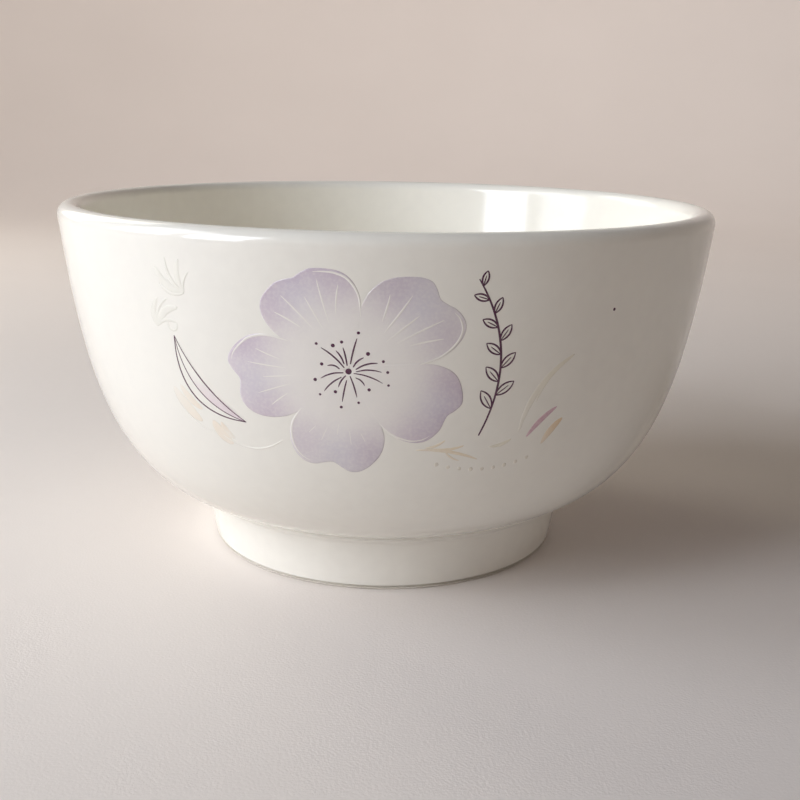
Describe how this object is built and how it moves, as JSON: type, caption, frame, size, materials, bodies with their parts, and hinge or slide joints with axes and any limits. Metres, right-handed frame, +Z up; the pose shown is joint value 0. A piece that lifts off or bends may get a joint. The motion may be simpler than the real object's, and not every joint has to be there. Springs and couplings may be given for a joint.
{
  "type": "rice bowl",
  "caption": "Small footed ceramic rice bowl with a rounded lip, a tall turned foot and a printed flower on its glazed front.",
  "frame": {"origin": "centre of the foot's rim, on the surface that the bowl stands on", "axes": "+Z up along the bowl's turning axis; the printed front faces -Y, with +X to its right"},
  "size_m": [0.115, 0.115, 0.062],
  "materials": {
    "clay": "fired white clay, under the glaze",
    "foot_clay": "bare fired clay, fine grained, matte",
    "slip": "fired slip, under the glaze",
    "glaze": "glossy warm off-white glaze",
    "flower_print": "glossy lilac print that fades to the glaze colour",
    "leaf_print": "glossy pink-lilac print with plum lines",
    "line_print": "glossy plum line print",
    "relief_enamel": "raised near-white enamel",
    "gold_print": "pale peach-gold print"
  },
  "bodies": {
    "root": {"bowl_body": "clay", "foot_ring": "foot_clay", "luting_bead": "slip", "glaze_coat": "glaze", "glaze_base_patch": "glaze", "flower_transfer": "flower_print", "leaf_transfer": "leaf_print", "vine_transfer": "line_print", "scroll_relief_upper": "relief_enamel", "scroll_relief_lower": "relief_enamel", "feather_transfer_left": "gold_print", "branch_transfer_right": "gold_print", "plume_transfer_right": "gold_print"}
  },
  "joints": []
}
